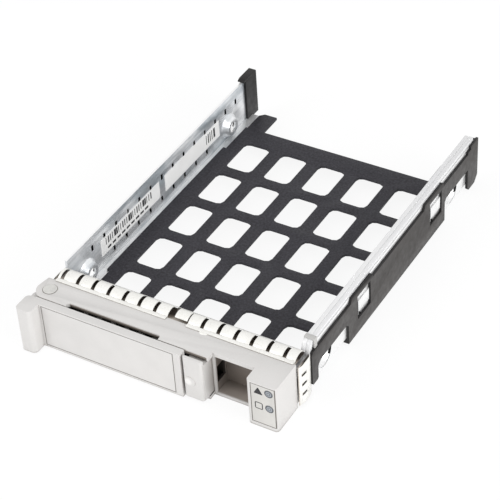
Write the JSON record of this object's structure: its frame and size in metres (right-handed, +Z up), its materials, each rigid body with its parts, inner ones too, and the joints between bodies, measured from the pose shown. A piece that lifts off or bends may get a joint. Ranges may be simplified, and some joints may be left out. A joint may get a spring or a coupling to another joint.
{
  "type": "hot swap drive caddy",
  "caption": "Open tray for a slim drive, with slotted side rails, an arched shielding strip, a front bezel, an ejector lever and a release button.",
  "frame": {"origin": "top face of the tray sheet, which is the drive's seat, midway between the rails, on a bar of the hole grid", "axes": "+X to the right seen from the front, +Y from the bezel to the rear, +Z up"},
  "size_m": [0.0787, 0.1217, 0.018],
  "materials": {
    "tray_black": "matte film",
    "rail_metal": "zinc plated",
    "guide_black": "fine moulded texture",
    "bezel_grey": "satin light grey",
    "strip_cream": "bright plated spring metal",
    "pin_metal": "satin",
    "spring_metal": "drawn wire",
    "clear_pipe": "clear moulding",
    "clip_grey": "moulded",
    "label_face": "satin film",
    "plaque_face": "satin film",
    "paper_white": "paper label"
  },
  "bodies": {
    "frame": {"base_sheet": "tray_black", "left_rail": "rail_metal", "right_rail": "rail_metal", "left_guide": "guide_black", "right_guide": "guide_black", "bezel_frame": "bezel_grey", "top_strip": "strip_cream", "bottom_strip": "strip_cream", "left_strip": "strip_cream", "right_strip": "strip_cream", "lever_pin": "pin_metal", "button_spring": "spring_metal", "lever_spring": "spring_metal", "upper_light_pipe": "clear_pipe", "lower_light_pipe": "clear_pipe", "light_pipe_clip": "clip_grey", "lamp_plaque": "plaque_face", "front_rail_label": "paper_white", "rear_rail_label": "paper_white", "collar_rivets": "pin_metal"},
    "lever": {"ejector_lever": "bezel_grey", "lever_label": "label_face"},
    "button": {"release_button": "bezel_grey"}
  },
  "joints": [
    {"name": "lever_swing", "type": "hinge", "parent": "frame", "child": "lever", "pos_m": [-0.0358, -0.0618, 0.0035], "axis": [0, 0, -1], "range_deg": [0, 70]},
    {"name": "button_press", "type": "slide", "parent": "frame", "child": "button", "axis": [0, 1, 0], "range_m": [0, 0.0012], "stiffness_N_per_m": 400, "springref_m": -0.001}
  ]
}
